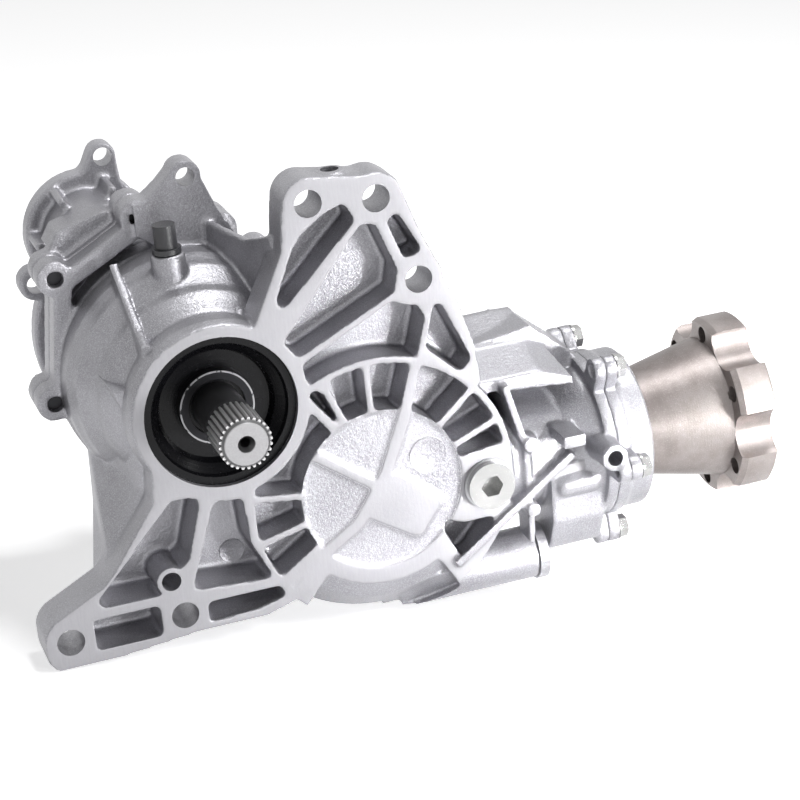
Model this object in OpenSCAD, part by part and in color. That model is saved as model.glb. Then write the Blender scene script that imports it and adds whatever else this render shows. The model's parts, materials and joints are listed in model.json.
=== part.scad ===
// Power transfer unit of an all-wheel-drive car: an aluminium gearbox that takes
// drive from a transverse transaxle and turns it towards the rear propeller shaft.
// Frame: origin on the link shaft axis in the machined front face, +Y into the
// case, +X along the output towards the flange, +Z up.

/* [Front face] */
// Radius of the main bore in the front face
bore_r = 37.5; // [36:0.5:40]
// Width of the machined ring round the main bore
ring_w = 5.8; // [4:0.2:9]
// Radius of the clearance holes for the M12 mounting bolts
mount_hole_r = 6.75; // [5:0.25:7.5]
// Radius of the bosses round the mounting holes
mount_boss_r = 12.5; // [11:0.5:14]
// Depth of the ribbed arm, front to back
arm_t = 21.5; // [18:0.5:26]
// Depth of the foot, front to back
leg_t = 26; // [20:0.5:32]
// Thickness of the web behind the pockets
web_t = 3.5; // [2.5:0.5:6]
// Width of the straight cast ribs
rib_w = 4; // [3:0.25:6]

/* [Gear casing] */
// Distance of the transfer axis to the right of the link shaft
transfer_x = 74.5; // [70:0.5:78]
// Drop of the transfer axis below the link shaft
transfer_drop = 66; // [63:0.5:69]
// Outer radius of the ring rib on the front of the gear casing
casing_rib_r = 68.5; // [66:0.5:71]
// Radius of the domed bearing cap in the middle of the ribs
cap_r = 41.5; // [40:0.5:43]
// Height of the cap centre above the transfer axis
cap_rise = 9; // [6:0.5:11]
// Wall of the castings
wall = 5.5; // [4.5:0.25:6.5]

/* [Case halves] */
// Depth of the joint between main case and rear cover
joint_y = 86; // [84:0.5:92]
// Depth of the face that meets the transaxle
rear_y = 150; // [140:1:165]
// Thickness of the joint flanges
flange_t = 13; // [10:0.5:15]
// Radius of the joint bolts
joint_bolt_r = 4; // [3:0.5:5]

/* [Gears] */
// Teeth of the gear on the input shaft
input_teeth = 41; // [37:1:43]
// Teeth of the gear on the transfer shaft
transfer_teeth = 39; // [37:1:43]
// Width of the two spur gears
spur_w = 15; // [10:0.5:16]
// Teeth of the bevel ring gear
ring_teeth = 35; // [31:1:39]
// Teeth of the bevel pinion
pinion_teeth = 13; // [11:1:14]
// Pitch radius of the bevel ring gear at its outer edge
ring_gear_r = 46; // [44:0.5:47]
// Length of the bevel teeth along the cone
bevel_face = 15; // [12:0.5:18]
// Share of the tooth pitch left free between the flanks
backlash = 0.14; // [0.1:0.01:0.2]

/* [Shafts] */
// Radius of the plain link shaft
link_r = 12; // [10:0.25:12.5]
// Radius over the splines of the link shaft
link_spline_r = 12.75; // [12.5:0.05:13.25]
// Number of splines on the link shaft
link_splines = 28; // [24:1:32]
// How far the splined stub stands out of the front face
stub_out = 44; // [35:1:55]
// Length of the visible splines
spline_len = 24; // [18:1:30]
// Radius of the hollow input shaft at its front seal
sleeve_r = 18.3; // [17.5:0.1:20]
// Radius of the bearing seats on the input shaft
input_seat_r = 22.5; // [21:0.5:24]
// Radius of the bearing seats on the transfer shaft
transfer_seat_r = 12.5; // [11:0.5:14]
// Radius of the bearing seats on the pinion shaft
pinion_seat_r = 15; // [13:0.5:16]
// Radial running clearance of shafts in seals and bushes
run = 0.05; // [0.02:0.01:0.1]

/* [Output] */
// Depth of the pinion axis behind the front face
pinion_y = 34; // [32:0.5:37]
// Distance from the link shaft to the face of the pinion carrier
carrier_x = 216; // [210:1:225]
// Radius of the round carrier nose
carrier_r = 41; // [39:0.5:44]
// Radius of the carrier bolt circle
carrier_bolt_pcr = 51; // [49:0.5:54]
// Distance from the link shaft to the end of the output flange
flange_end_x = 281.5; // [276:0.5:290]
// Outer radius of the output flange
flange_r = 46.6; // [45:0.2:50]
// Radius of the bolt circle of the output flange
flange_bolt_pcr = 40; // [38:0.5:42]
// Radius of the bolt holes of the output flange
flange_hole_r = 4.25; // [3:0.25:5]
// Number of tabs on the output flange
tabs = 6; // [4:1:8]

/* [Fittings] */
// Radius of the filler plug head
plug_r = 12; // [10:0.5:13]
// Radius of the vent cap
vent_r = 6.5; // [5:0.25:8]
// Radius of the closed tube under the casing
tube_r = 13.5; // [12:0.5:15]

/* [Hidden] */
$fn = 64;

transfer_z = -transfer_drop;
cap_z = transfer_z + cap_rise;
ring_r = bore_r + ring_w;
centre_dist = norm([transfer_x, transfer_z]);
spur_m = 2 * centre_dist / (input_teeth + transfer_teeth);
input_pitch_r = spur_m * input_teeth / 2;
transfer_pitch_r = spur_m * transfer_teeth / 2;
tip_gap = 3;
spur_y = joint_y - 5 - spur_w;
input_cavity_r = input_pitch_r + spur_m + tip_gap;
transfer_cavity_r = max(transfer_pitch_r + spur_m, ring_gear_r + 2) + tip_gap;
casing_r = transfer_cavity_r + wall;
bell_r = input_cavity_r + wall;

pinion_r = ring_gear_r * pinion_teeth / ring_teeth;
bevel_m = 2 * ring_gear_r / ring_teeth;
cone_len = norm([ring_gear_r, pinion_r]);
ring_angle = atan2(ring_gear_r, pinion_r);
pinion_angle = 90 - ring_angle;

front_hole_1 = [53, 93];
front_hole_2 = [86, 89.5];
front_hole_3 = [103, 46];
foot_hole_1 = [-87, -99.5];
foot_hole_2 = [-30.5, -99];
foot_tapped = [-35, -80];
plug_at = [129, -66];

// Depths of the bearings on the link shaft axis
seal_y = 3;
seal_w = 13;
input_front_y = 22;
input_bearing_w = 14;
input_bearing_r = 34;
input_rear_y = joint_y + 6;

// Transfer shaft bearings
transfer_front_y = 7;
transfer_bearing_w = 15;
transfer_bearing_r = 26;
transfer_rear_y = joint_y + 5;

// Pinion bearings, along X
pinion_head_x = transfer_x + ring_gear_r + 5;
pinion_front_x = max(pinion_head_x + 1, plug_at[0] + plug_r + 1.5);
pinion_bearing_w = 17;
pinion_bearing_r = 27.5;
pinion_rear_x = carrier_x - 33;
housing_end_x = carrier_x - 20;
lug_t = 6;
// Seat of the pinion seal in the carrier
nose_r = 32;
carrier_lug_x = housing_end_x + lug_t;

bolt_head_h = 5;
cross_boss_r = 7;
vent_x = -6;
vent_y = 48;
vent_boss_top = bell_r + 5;
vent_tube_r = 3.5;
vent_tube_top = vent_boss_top + 9.5;
cross_hole_r = 4;
cross_hole_x = housing_end_x - cross_boss_r - 0.5;
cross_hole_z = transfer_z + 7.5;
cross_boss_y = -21;

// Points of a polygon with each corner rounded to the radius in its third number
function unit(v) = v / norm(v);
function corner(a, b, c, r, n) =
    let (u = unit([a[0] - b[0], a[1] - b[1]]),
         v = unit([c[0] - b[0], c[1] - b[1]]),
         half = acos(max(-1, min(1, u * v))) / 2,
         reach = r / tan(half),
         mid = [b[0], b[1]] + unit(u + v) * r / sin(half),
         p = [b[0], b[1]] + u * reach - mid,
         q = [b[0], b[1]] + v * reach - mid,
         a0 = atan2(p[1], p[0]),
         raw = atan2(q[1], q[0]) - a0,
         turn = raw > 180 ? raw - 360 : raw < -180 ? raw + 360 : raw)
    [for (i = [0 : n]) mid + r * [cos(a0 + turn * i / n), sin(a0 + turn * i / n)]];
function rounded(pts, n = 3) =
    let (k = len(pts))
    [for (i = [0 : k - 1])
        for (p = pts[i][2] > 0 ? corner(pts[(i + k - 1) % k], pts[i], pts[(i + 1) % k], pts[i][2], n)
                               : [[pts[i][0], pts[i][1]]]) p];

// Plate drawn in X and Z, from one depth to another
module plate_y(y0, y1) {
    translate([0, y1, 0]) rotate([90, 0, 0]) linear_extrude(y1 - y0) children();
}
// Plate drawn in Y and Z, from one X to another
module plate_x(x0, x1) {
    translate([x0, 0, 0]) rotate([90, 0, 90]) linear_extrude(x1 - x0) children();
}
module disc_y(x, z, r, y0, y1) {
    translate([x, y1, z]) rotate([90, 0, 0]) cylinder(r = r, h = y1 - y0);
}
module disc_x(y, z, r, x0, x1) {
    translate([x0, y, z]) rotate([0, 90, 0]) cylinder(r = r, h = x1 - x0);
}
// Body turned about an axis along Y through x, z, from points [radius, depth]
module turned_y(x, z, pts) {
    translate([x, 0, z]) rotate([-90, 0, 0]) rotate_extrude() polygon(pts);
}
// Body turned about an axis along X through y, z, from points [radius, distance]
module turned_x(y, z, pts) {
    translate([0, y, z]) rotate([0, 90, 0]) rotate_extrude() polygon(pts);
}
module tube_y(x, z, r0, r1, y0, y1) {
    turned_y(x, z, [[r0, y0], [r1, y0], [r1, y1], [r0, y1]]);
}
module tube_x(y, z, r0, r1, x0, x1) {
    turned_x(y, z, [[r0, x0], [r1, x0], [r1, x1], [r0, x1]]);
}
// Straight strip from p to q
module strip(p, q, w) {
    translate(p) rotate(atan2(q[1] - p[1], q[0] - p[0])) translate([0, -w / 2]) square([norm(q - p), w]);
}

// Outline of an involute spur gear
function involute(rb, t) = rb * [cos(t) + t * PI / 180 * sin(t), sin(t) - t * PI / 180 * cos(t)];
function inv_at(rb, r) = sqrt(max(0, (r / rb) * (r / rb) - 1)) * 180 / PI;
function inv_angle(rb, r) = let (t = inv_at(rb, r)) t - atan(t * PI / 180);
function spur_points(z, m, play) =
    let (rp = m * z / 2, rb = rp * cos(20), ra = rp + m, rf = rp - 1.25 * m, r0 = max(rb, rf),
         half = 90 / z * (1 - play) + inv_angle(rb, rp))
    [for (i = [0 : z - 1])
        for (s = [-1, 1])
            for (j = s < 0 ? [0, 1, 2, 3] : [3, 2, 1, 0])
                let (r = j == 0 ? rf : r0 + (ra - r0) * (j - 1) / 2,
                     a = 360 / z * i + s * (half - (j == 0 ? 0 : inv_angle(rb, r))))
                r * [cos(a), sin(a)]];
function spline_points(z, ro, ri) =
    [for (i = [0 : z - 1])
        for (k = [[ri, -0.36], [ro, -0.17], [ro, 0.17], [ri, 0.36]])
            k[0] * [cos(360 / z * (i + k[1])), sin(360 / z * (i + k[1]))]];

// Radius and height of a point at distance d from the apex of a pitch cone
function on_cone(angle, tilt, d) = [d * sin(angle + tilt), d * cos(angle + tilt)];
bevel_inner = 1 - bevel_face / cone_len;
tip_tilt = atan(0.8 * bevel_m / cone_len);
root_tilt = -atan(1.05 * bevel_m / cone_len);
// One straight bevel tooth on a cone that opens along +Z from its apex
module bevel_tooth(angle, z) {
    foot_tilt = root_tilt * 1.12;
    half = 90 / z * (1 - backlash);
    polyhedron(
        [for (share = [bevel_inner, 1])
            for (k = [[foot_tilt, -1.45], [tip_tilt, -0.6], [tip_tilt, 0.6], [foot_tilt, 1.45]])
                let (p = on_cone(angle, k[0], cone_len * share), turn = half * k[1])
                [p[0] * cos(turn), p[0] * sin(turn), p[1]]],
        [[0, 1, 2], [0, 2, 3], [7, 6, 5], [7, 5, 4], [0, 4, 5], [0, 5, 1],
         [1, 5, 6], [1, 6, 2], [2, 6, 7], [2, 7, 3], [3, 7, 4], [3, 4, 0]]);
}

// Outline of the joint between main case and rear cover
joint_lugs = [[-66, -7], [-57, 56], [-13, 79], [27, 65]];
casing_lugs = [for (a = [38, -12, -56, -124]) [transfer_x, transfer_z] + (casing_r + 5) * [cos(a), sin(a)]];
lugs = concat(joint_lugs, casing_lugs, [[-38, -60]]);
lug_r = 9;
module joint_outline() {
    circle(r = bell_r + 1.5);
    translate([transfer_x, transfer_z]) circle(r = casing_r + 1.5);
    polygon(body_tangent());
    for (p = lugs) translate(p) circle(r = lug_r, $fn = 32);
    for (i = [0 : 1]) strip(0.94 * joint_lugs[i], 0.94 * joint_lugs[i + 1], lug_r);
}
// Quadrilateral that bridges the bell and the gear casing
function body_tangent() =
    let (d = [transfer_x, transfer_z] / centre_dist, n = [-d[1], d[0]],
         s = (bell_r - casing_r) / centre_dist, u = d * s + n * sqrt(1 - s * s),
         v = d * s - n * sqrt(1 - s * s), c = [transfer_x, transfer_z])
    [u * (bell_r - 0.5), v * (bell_r - 0.5), c + v * (casing_r - 0.5), c + u * (casing_r - 0.5)];

// Main case
arm_outline = [
    [20, 38, 0], [28, 53, 6], [37.5, 72, 8], [39.5, 90, 6], [41.5, 97, 3], [46, 104, 5], [57, 105, 6],
    [80, 101.5, 5], [92, 100.5, 5], [97, 97, 4], [106, 70, 4], [114.5, 50, 5], [116, 42, 4],
    [122, 30, 6], [128, 8, 6], [130, -12, 0], [100, -40, 0], [40, -20, 0]];
leg_outline = [
    [-37, -22, 0], [-39, -39, 5], [-60, -67, 4], [-67, -75, 6], [-95, -89, 5], [-99, -95, 4],
    [-99, -108, 4], [-95, -113.5, 4], [-60, -113, 4], [-24, -109.5, 4], [10, -109.5, 6], [28, -104, 0],
    [40, -60, 0], [0, -30, 0]];
module arm_pockets() {
    polygon(rounded([[27, 36, 3], [74.5, 81, 3], [70, 90, 3], [61, 87, 3], [48.5, 79, 3], [43, 72, 3]]));
    polygon(rounded([[34, 28, 3], [40, 19, 3], [90, 42, 3], [92.5, 53, 4], [84, 77, 3], [77, 78, 3]]));
    polygon(rounded([[90.5, 77, 2.5], [95, 81.5, 2.5], [106, 60, 2.5], [97, 57.5, 2.5]]));
    polygon(rounded([[110.5, 37, 2.5], [103.5, 11, 3], [120, -5, 2.5], [125.5, 1, 3]]));
}
module leg_pockets() {
    difference() {
        polygon(rounded([[-30, -39, 3], [-16, -40.5, 3], [-25.2, -71, 2], [-32, -76, 0], [-35, -84, 0],
                         [-42, -86, 2], [-69, -85.5, 3], [-71, -82, 2]]));
        translate(foot_tapped) circle(r = 7.5);
    }
    polygon(rounded([[-75, -91, 3], [-42.5, -91, 3], [-42.5, -107, 3], [-75, -107, 3]]));
    polygon(rounded([[-18.5, -95.5, 2], [18, -95.5, 2], [20, -101, 2], [5, -104.5, 2], [-19, -105.5, 2]]));
    polygon(rounded([[-9.5, -44.5, 3], [4.5, -46, 2], [6, -70, 2], [15, -90, 2], [-25, -87, 3]]));
}
// Pocket between the ring rib, the bore and the side boss
module fan_pocket() {
    difference() {
        polygon(rounded([[41.5, 15, 3], [44, 3, 0], [60, -2, 0], [97, 4, 0], [104, 27, 3], [101, 33, 3],
                         [95, 34.5, 3], [89, 37.5, 3]]));
        translate([transfer_x, cap_z]) circle(r = casing_rib_r);
        circle(r = ring_r);
    }
}
// Pockets between the radial ribs of the gear casing, cut as one ring
rib_angles = [21, 40, 92, 112, 172, 193, 213];
module ring_pockets() {
    difference() {
        translate([transfer_x, cap_z]) circle(r = casing_rib_r - rib_w);
        translate([transfer_x, cap_z]) circle(r = cap_r);
        circle(r = ring_r + 0.5);
        translate([transfer_x, cap_z])
            for (a = rib_angles) rotate(a) translate([cap_r - 2, -rib_w / 2]) square([30, rib_w]);
        polygon([[transfer_x, cap_z], [20, -102], [40, -150], [190, -150], [190, -40],
                 [transfer_x + 45, cap_z + 9]]);
        long_band();
        translate([50.5, 2.5]) circle(r = 4);
        strip([30, 12], [76, -51], 5);
    }
}
// Raised bands on the bearing cap
module long_band() {
    polygon([[104.2, 37], [95.2, 6.9], [86.1, -20.8], [74.5, -47.5], [58.7, -70], [39.8, -82], [15, -93],
             [17, -99], [42.2, -87], [63.2, -74], [79.6, -50.5], [91.9, -23.2], [100.8, 5.1], [109.8, 35]]);
}
module cap_pad() {
    polygon(rounded([[81, -49, 3], [105, -69, 4], [91, -87, 4], [64, -69, 3]]));
}
band_h = 1;
module cap_face() {
    difference() {
        translate([transfer_x, cap_z]) circle(r = cap_r - 0.5);
        long_band();
        cap_pad();
        strip([30, -23], [72, -55], 4.5);
    }
}
module front_pockets() {
    plate_y(-1, arm_t - web_t) arm_pockets();
    plate_y(-1, leg_t - web_t) leg_pockets();
    plate_y(-1, arm_t - web_t) ring_pockets();
    plate_y(-1, arm_t - web_t) fan_pocket();
    plate_y(-1, band_h) cap_face();
    under_dome();
    plate_y(-1, arm_t - web_t)
        polygon(rounded([[101, -79, 3], [113, -84, 3], [134, -84, 3], [113, -106, 3]]));
}
// Sweep of the casing's lower front edge, where it has no ring rib
module under_dome() {
    translate([transfer_x, 0, cap_z]) rotate([-90, 0, 0]) difference() {
        rotate_extrude() polygon([[cap_r + 8, -1], [casing_rib_r + 6, -1], [casing_rib_r + 6, 26],
                                  [casing_rib_r - 1, 17], [casing_rib_r - 10, 5], [cap_r + 8, 0.2]]);
        rotate(40) translate([-centre_dist, -centre_dist, -2]) cube([centre_dist, 2 * centre_dist, 30]);
        rotate(-30) translate([0, -centre_dist, -2]) cube([centre_dist, 2 * centre_dist, 30]);
    }
}
module bell() {
    turned_y(0, 0, [
        [0, 0], [ring_r, 0], [ring_r + 1.5, 6], [ring_r + 1.5, 14], [ring_r, 17], [ring_r, 20.5],
        [ring_r + 5, 26], [ring_r + 8, 31], [ring_r + 9, 37], [bell_r - 6, 44], [bell_r - 3, 49],
        [bell_r - 2, 54], [bell_r, 60], [bell_r + 1, joint_y], [0, joint_y]]);
}
module gear_casing() {
    disc_y(transfer_x, cap_z, casing_rib_r, 0, arm_t);
    turned_y(transfer_x, transfer_z, [
        [0, 10], [casing_r - 1, 10], [casing_r, 20], [casing_r, joint_y - 20],
        [casing_r + 1, joint_y], [0, joint_y]]);
}
module bridge() {
    plate_y(joint_y - 46, joint_y) polygon(body_tangent());
}
// Barrel round the pinion, with the flat topped block, ribs, bar and belly on it
module pinion_housing() {
    turned_x(pinion_y, transfer_z, [
        [0, transfer_x], [31, transfer_x], [31, housing_end_x - 22], [38, housing_end_x - 9],
        [38, housing_end_x], [0, housing_end_x]]);
    block_x = housing_end_x - 27;
    hull() {
        plate_y(60, 64) polygon([[108, -10], [108, -1], [block_x - 11, 0], [block_x, -1], [block_x, -10]]);
        plate_y(8, 11) polygon([[112, -20], [112, -16], [block_x - 6, -16.5], [block_x + 11, -23],
                                [block_x + 11, -27], [block_x - 6, -21]]);
    }
    plate_y(34, 64) polygon([[105, -60], [105, -10], [block_x - 11, -4], [block_x, -2], [block_x + 20, -19],
                             [block_x + 25, -25], [block_x + 25, -60]]);
    plate_y(1, 34) strip([block_x - 27, -18], [block_x - 19.5, -48], rib_w);
    plate_y(1, 34) strip([block_x - 18, -52], [block_x - 19, -76], rib_w);
    disc_y(block_x - 16, -51, 4.3, -1, 34);
    plate_y(-12, 30) translate([block_x - 3.5, -52]) square([12, 6]);
    // Belly below the barrel, with a bump on its lowest line
    plate_x(tube_end_x + 7, housing_end_x - 6) polygon(rounded([
        [0, transfer_z, 0], [2, -98, 10], [12, -116, 12], [44, -122, 14], [66, -104, 12], [68, transfer_z, 0]]));
    plate_x(housing_end_x - 30, housing_end_x - 14) translate([24, -113]) circle(r = 7);
    // Boss with a cross hole beside the carrier
    disc_y(cross_hole_x, cross_hole_z, cross_boss_r, cross_boss_y, 16);
    plate_x(housing_end_x - lug_t, housing_end_x) carrier_outline();
}
carrier_angles = [54, 121, 181, 253, 330];
carrier_lug_r = 6.6;
module carrier_outline() {
    translate([pinion_y, transfer_z]) {
        circle(r = carrier_r + 1.5);
        for (a = carrier_angles) rotate(a) {
            translate([carrier_bolt_pcr, 0]) circle(r = carrier_lug_r, $fn = 32);
            translate([carrier_r - 6, -carrier_lug_r]) square([carrier_bolt_pcr - carrier_r + 6, 2 * carrier_lug_r]);
        }
    }
}
module strut() {
    plate_y(-3, 14) strip([108, -105], [housing_end_x - 22, -59.5], 4.5);
    disc_y(housing_end_x - 46, -84, 3.8, -5, 20);
    plate_y(-1, 14) strip([housing_end_x - 46, -84], [housing_end_x - 47, -103], 3.5);
    plate_y(1, 20) strip([133, -62], [100, -119], 4.5);
}
tube_y_at = 20;
tube_z = transfer_z - 51.5;
tube_end_x = housing_end_x - 41;
module drain_tube() {
    disc_x(tube_y_at, tube_z, tube_r, transfer_x, tube_end_x);
}
// Ear with one hole, on a web whose corners are given
ear_hole_r = 4.75;
module ear(at, r, y0, y1, web) {
    plate_y(y0, y1) difference() {
        union() {
            translate(at) circle(r = r, $fn = 40);
            polygon(web);
        }
        translate(at) circle(r = ear_hole_r, $fn = 32);
    }
}
ear_front = [12.5, 95.5];
arm_plug_x = 68;
arm_top = 103.5;
ear_rear = [-14, 94];
ear_r = 8;
// Deep wall at the back of the foot, from the leg's side to the joint flange
foot_wall_front = [[-36, -14], [-38, -38], [-58, -67], [-66, -82]];
foot_wall_rear = [[-50, -3], [-51, -30], [-52.5, -62], [-54, -87]];
module foot_wall() {
    for (i = [0 : 2]) hull() for (k = [i, i + 1]) {
        plate_y(leg_t - 8, leg_t - 3) translate(foot_wall_front[k]) circle(r = 2.8, $fn = 12);
        plate_y(joint_y - flange_t - 2, joint_y - flange_t + 2) translate(foot_wall_rear[k]) circle(r = 2.5, $fn = 12);
    }
}
// Web from the arm's left side back to the joint flange, each point with its top
wing_points = [[38, arm_t - 7, 76], [32, 40, 68.5], [20, joint_y - flange_t, 72]];
module wing() {
    for (i = [0 : 1]) hull() for (p = [wing_points[i], wing_points[i + 1]])
        translate([p[0], p[1], 20]) cylinder(r = 2, h = p[2] - 20, $fn = 12);
}
module main_case() {
    color("silver") difference() {
        union() {
            wing();
            plate_y(0, arm_t) polygon(rounded(arm_outline));
            plate_y(0, leg_t) polygon(rounded(leg_outline));
            bell();
            gear_casing();
            bridge();
            pinion_housing();
            strut();
            drain_tube();
            plate_y(joint_y - flange_t, joint_y) joint_outline();
            ear(ear_front, ear_r, joint_y - flange_t - 2, joint_y, [
                [5, 98.5], [-2, 92], [-7.5, 88], [-15, 86], [-15, 70], [20, 45], [40, 50], [33.5, 65],
                [27, 76], [20.2, 94]]);
            foot_wall();
            translate([arm_plug_x, arm_t / 2, arm_top - 16]) cylinder(r = 7.5, h = 17);
            translate([vent_x, vent_y, 30]) cylinder(r = vent_r + 2, h = vent_boss_top - 30);
            for (p = [front_hole_1, front_hole_2, front_hole_3])
                disc_y(p[0], p[1], mount_boss_r, 0, arm_t + 1);
            plate_x(-32, -28) polygon([[9, 28], [9, 37], [22, 41], [62, 62], [62, 40]]);
        }
        front_pockets();
        case_cavity();
        case_holes();
    }
}
module case_cavity() {
    disc_y(0, 0, bore_r, -1, seal_y + seal_w + 1);
    disc_y(0, 0, input_bearing_r - 4, 0, input_front_y);
    disc_y(0, 0, input_bearing_r, input_front_y - 1, 40);
    turned_y(0, 0, [
        [0, 39], [input_bearing_r + 3, 39], [input_cavity_r - 6, 52], [input_cavity_r, 57],
        [input_cavity_r, joint_y + 1], [0, joint_y + 1]]);
    disc_y(transfer_x, transfer_z, transfer_bearing_r, transfer_front_y - 1, 30);
    disc_y(transfer_x, transfer_z, transfer_cavity_r, 25, joint_y + 1);
    disc_x(pinion_y, transfer_z, 21, transfer_x, pinion_front_x + 1);
    disc_x(pinion_y, transfer_z, pinion_bearing_r, pinion_front_x, pinion_front_x + 25);
    disc_x(pinion_y, transfer_z, pinion_bearing_r - 4, pinion_front_x + 20, pinion_rear_x);
    disc_x(pinion_y, transfer_z, 32, pinion_rear_x - 6, housing_end_x + 1);
    plate_y(55, joint_y + 1) translate([transfer_x / 2, transfer_z / 2]) rotate(-41.5) square([60, 60], center = true);
    disc_x(tube_y_at, tube_z, tube_r - 4, transfer_x + 20, tube_end_x + 1);
}
module case_holes() {
    for (p = [front_hole_1, front_hole_2, front_hole_3, foot_hole_1, foot_hole_2])
        disc_y(p[0], p[1], mount_hole_r, -1, 40);
    disc_y(foot_tapped[0], foot_tapped[1], 4.8, -1, 18);
    translate([arm_plug_x, arm_t / 2, arm_top - 8]) cylinder(r = 4.4, h = 20);
    disc_y(plug_at[0], plug_at[1], plug_r - 3, -1, 16);
    for (p = lugs) disc_y(p[0], p[1], joint_bolt_r, joint_y - flange_t - 1, joint_y + 1);
    translate([vent_x, vent_y, 30]) cylinder(r = vent_tube_r, h = 60);
    disc_y(cross_hole_x, cross_hole_z, cross_hole_r, cross_boss_y - 1, cross_boss_y + 18);
    disc_y(cross_hole_x, cross_hole_z, cross_hole_r + 0.6, cross_boss_y + 17.9, cross_boss_y + 20);
    for (a = carrier_angles)
        disc_x(pinion_y + carrier_bolt_pcr * cos(a), transfer_z + carrier_bolt_pcr * sin(a), 3.5,
               housing_end_x - lug_t - 1, housing_end_x + 1);
}

// Rear cover
neck_r = 46;
module rear_cover() {
    color("lightgray") difference() {
        union() {
            plate_y(joint_y, joint_y + flange_t) joint_outline();
            turned_y(0, 0, [[0, joint_y], [bell_r, joint_y], [bell_r - 2, joint_y + 22], [neck_r, joint_y + 36],
                            [neck_r, rear_y], [0, rear_y]]);
            turned_y(transfer_x, transfer_z, [
                [0, joint_y], [casing_r, joint_y], [casing_r - 4, joint_y + 14], [34, joint_y + 22],
                [34, joint_y + 27], [0, joint_y + 27]]);
            rear_flange();
            for (a = [60 : 60 : 300]) rotate([0, -a - 20, 0]) translate([40, joint_y + 25, -2.5])
                cube([22, rear_y - joint_y - 30, 5]);
        }
        disc_y(0, 0, input_cavity_r, joint_y - 1, input_rear_y - 2);
        disc_y(0, 0, input_bearing_r, input_rear_y - 3, input_rear_y + input_bearing_w);
        disc_y(0, 0, input_bearing_r - 4, input_rear_y, input_rear_y + input_bearing_w + 6);
        disc_y(0, 0, 33, input_rear_y + input_bearing_w + 5, rear_y + 1);
        disc_y(rear_lobe[0], rear_lobe[1], rear_lobe_r - 13, rear_lobe_y, rear_y + 1);
        disc_y(transfer_x, transfer_z, transfer_cavity_r, joint_y - 1, transfer_rear_y - 2);
        disc_y(transfer_x, transfer_z, transfer_bearing_r, transfer_rear_y - 3, transfer_rear_y + transfer_bearing_w);
        for (p = lugs) disc_y(p[0], p[1], joint_bolt_r + 0.3, joint_y - 1, joint_y + flange_t + 1);
        for (p = lugs) disc_y(p[0], p[1], 8, joint_y + flange_t, joint_y + flange_t + bolt_head_h + 3);
        for (p = rear_holes) disc_y(p[0], p[1], ear_hole_r, rear_y - 13, rear_y + 1);
    }
}
rear_holes = [[-57, 34], [-30, -60], [46, -48], [60, 28]];
rear_rim_r = 62;
rear_lobe = [-27, 56];
rear_lobe_r = 31.5;
rear_lobe_y = rear_y - 30;
module rear_flange() {
    plate_y(rear_y - 12, rear_y) {
        circle(r = rear_rim_r);
        translate(rear_lobe) circle(r = rear_lobe_r);
        for (p = rear_holes) translate(p) circle(r = ear_hole_r + 4, $fn = 40);
    }
    ear(ear_rear, ear_r - 1, rear_y - 12, rear_y, [
        [-20.5, 97], [-24, 90], [-28, 86], [-38, 84], [-38, 60], [-5, 60], [-7.2, 94]]);
    // Barrel of the lobe, with three gussets, and the shelf in front of it
    disc_y(rear_lobe[0], rear_lobe[1], rear_lobe_r - 8, joint_y + flange_t + bolt_head_h + 2, rear_y - 5);
    plate_y(joint_y + 30, rear_y - 10) translate(rear_lobe)
        for (a = [66, 120, 172]) rotate(a) translate([15, -2]) square([rear_lobe_r - 16, 4]);
    plate_y(joint_y + 5, joint_y + flange_t + 14) difference() {
        polygon([[-55, 66], [-50, 74], [-25, 80], [-12, 72], [-20, 45], [-50, 40]]);
        for (p = lugs) translate(p) circle(r = lug_r);
    }
}

// Pinion carrier
module pinion_carrier() {
    color("gainsboro") difference() {
        union() {
            turned_x(pinion_y, transfer_z, [
                [0, pinion_rear_x - 4], [32, pinion_rear_x - 4], [32, housing_end_x], [carrier_r + 1, housing_end_x],
                [carrier_r + 1, carrier_lug_x], [carrier_r, carrier_lug_x + 3], [carrier_r, carrier_x - 1.5],
                [carrier_r - 2, carrier_x], [0, carrier_x]]);
            plate_x(housing_end_x, carrier_lug_x) carrier_outline();
        }
        disc_x(pinion_y, transfer_z, pinion_bearing_r, pinion_rear_x, pinion_rear_x + pinion_bearing_w);
        disc_x(pinion_y, transfer_z, pinion_bearing_r - 4, pinion_rear_x - 5, carrier_x - 10);
        disc_x(pinion_y, transfer_z, nose_r, carrier_x - 11, carrier_x + 1);
        for (a = carrier_angles)
            disc_x(pinion_y + carrier_bolt_pcr * cos(a), transfer_z + carrier_bolt_pcr * sin(a), 3.5,
                   housing_end_x - 1, carrier_lug_x + 1);
    }
}

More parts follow.
